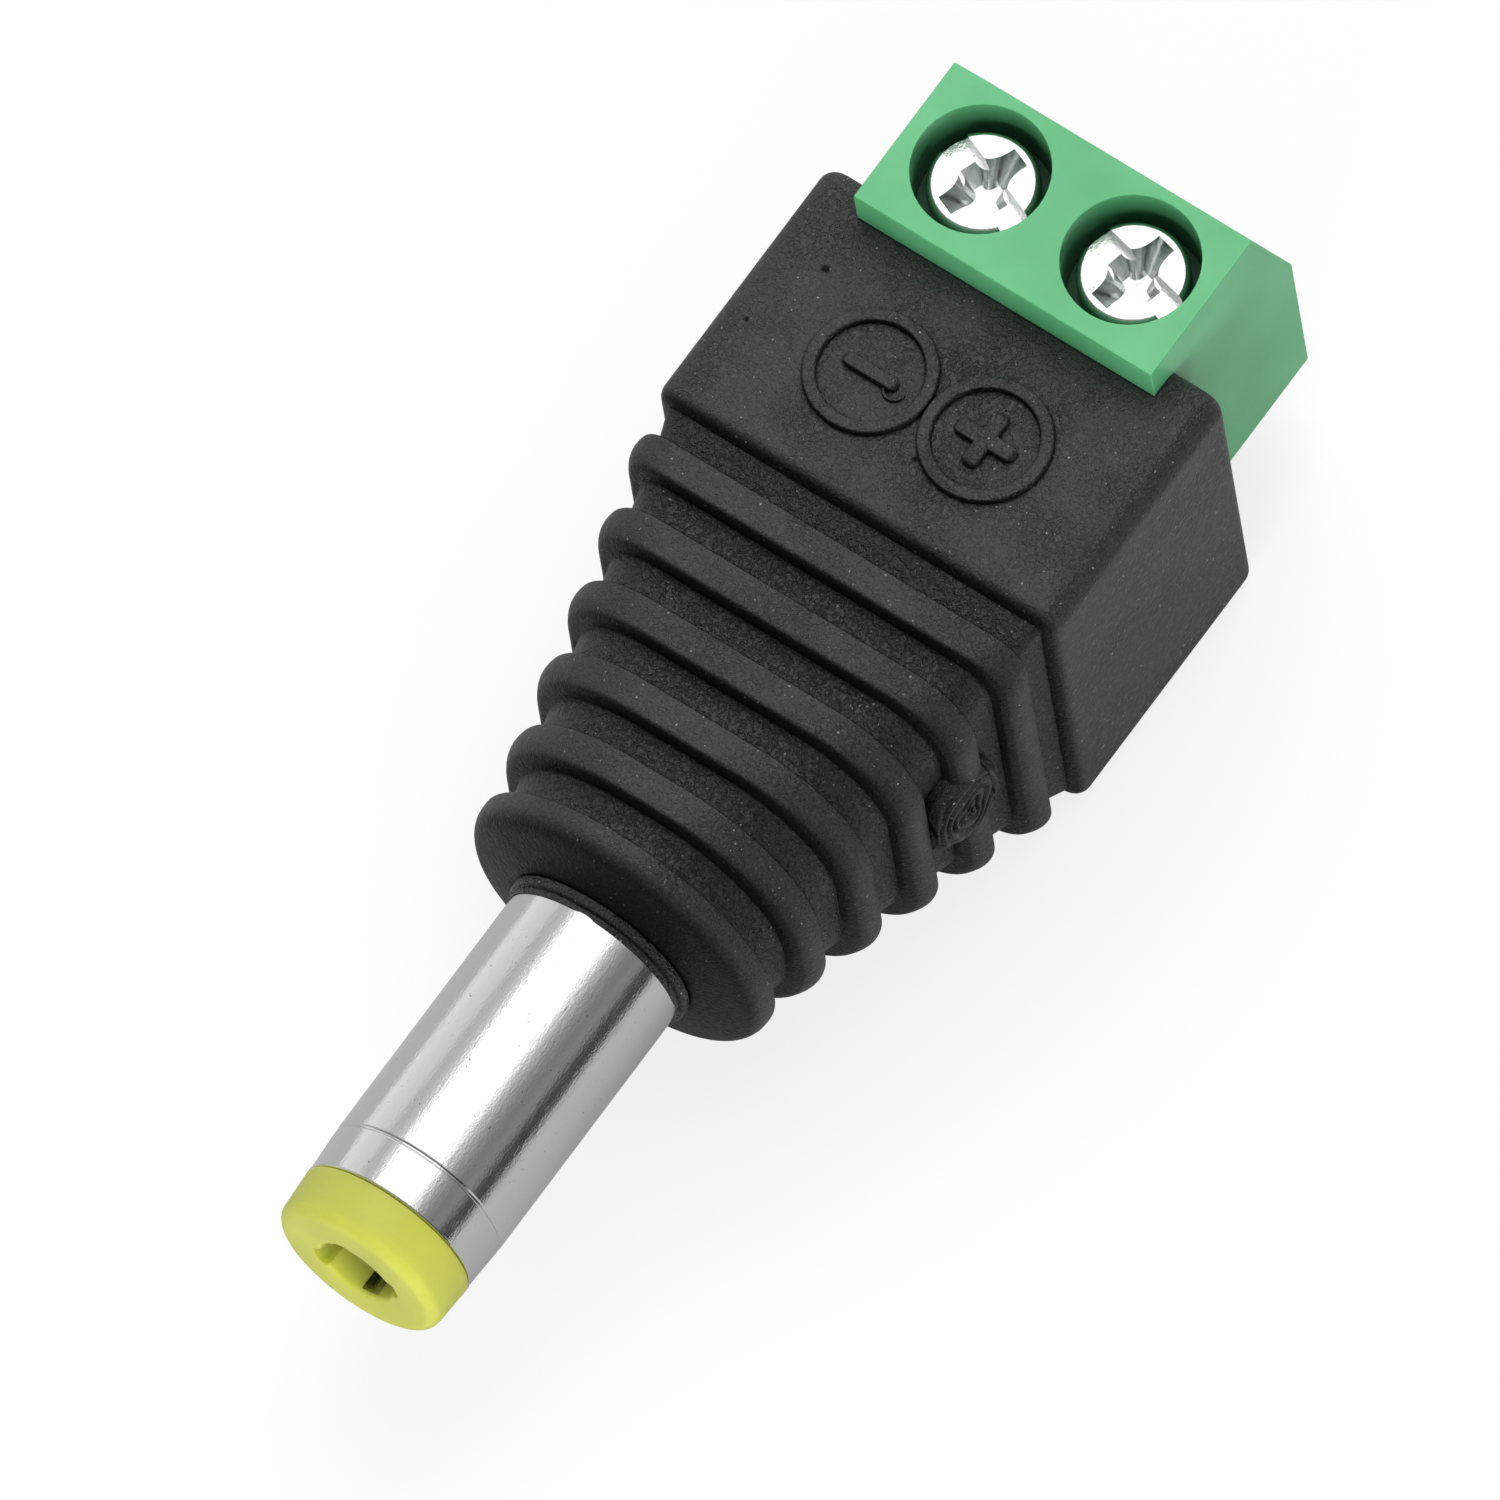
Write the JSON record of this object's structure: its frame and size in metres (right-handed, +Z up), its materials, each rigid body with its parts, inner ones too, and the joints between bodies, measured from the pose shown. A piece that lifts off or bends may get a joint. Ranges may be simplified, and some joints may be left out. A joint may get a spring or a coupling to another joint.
{
  "type": "dc barrel plug",
  "caption": "Straight barrel plug for low-voltage direct current, with a ribbed black body and a green screw terminal block for two bare wires.",
  "frame": {"origin": "under the middle of the plug's length and width, on the surface that its flat underside rests on", "axes": "+X along the barrel towards its tip, +Z up out of the screw heads, +Y to the side with the plus mark"},
  "size_m": [0.0378, 0.0132, 0.0126],
  "materials": {
    "black_moulding": "satin, soft",
    "green_plastic": "satin",
    "yellow_plastic": "satin",
    "white_plastic": "satin",
    "plated_brass": "bright nickel",
    "zinc_plated_steel": "zinc plated",
    "tinned_copper": "tinned",
    "black_jacket": "matte",
    "red_jacket": "matte"
  },
  "bodies": {
    "plug": {"moulded_body": "black_moulding", "terminal_housing": "green_plastic", "contact_bar_negative": "tinned_copper", "contact_bar_positive": "tinned_copper", "barrel_sleeve": "plated_brass", "tip_insulator": "yellow_plastic", "centre_contact": "plated_brass", "rear_bush": "white_plastic", "sleeve_lug": "plated_brass", "lead_conductor_negative": "tinned_copper", "lead_conductor_positive": "tinned_copper", "lead_jacket_negative": "black_jacket", "lead_jacket_positive": "red_jacket"},
    "screw_negative": {"clamp_screw_negative": "zinc_plated_steel"},
    "screw_positive": {"clamp_screw_positive": "zinc_plated_steel"},
    "cage_negative": {"wire_cage_negative": "zinc_plated_steel"},
    "cage_positive": {"wire_cage_positive": "zinc_plated_steel"}
  },
  "joints": [
    {"name": "screw_turn_negative", "type": "hinge", "parent": "plug", "child": "screw_negative", "pos_m": [-0.01528, -0.0025, 0.01185], "axis": [0, 0, -1], "range_deg": [0, 1440]},
    {"name": "cage_rise_negative", "type": "slide", "parent": "plug", "child": "cage_negative", "axis": [0, 0, 1], "range_m": [0, 0.0018]},
    {"name": "screw_turn_positive", "type": "hinge", "parent": "plug", "child": "screw_positive", "pos_m": [-0.01528, 0.0025, 0.01185], "axis": [0, 0, -1], "range_deg": [0, 1440]},
    {"name": "cage_rise_positive", "type": "slide", "parent": "plug", "child": "cage_positive", "axis": [0, 0, 1], "range_m": [0, 0.0018]}
  ],
  "couplings": [
    {"joint": "screw_turn_negative", "follows": "cage_rise_negative", "rad_per_m": 13963},
    {"joint": "screw_turn_positive", "follows": "cage_rise_positive", "rad_per_m": 13963}
  ]
}
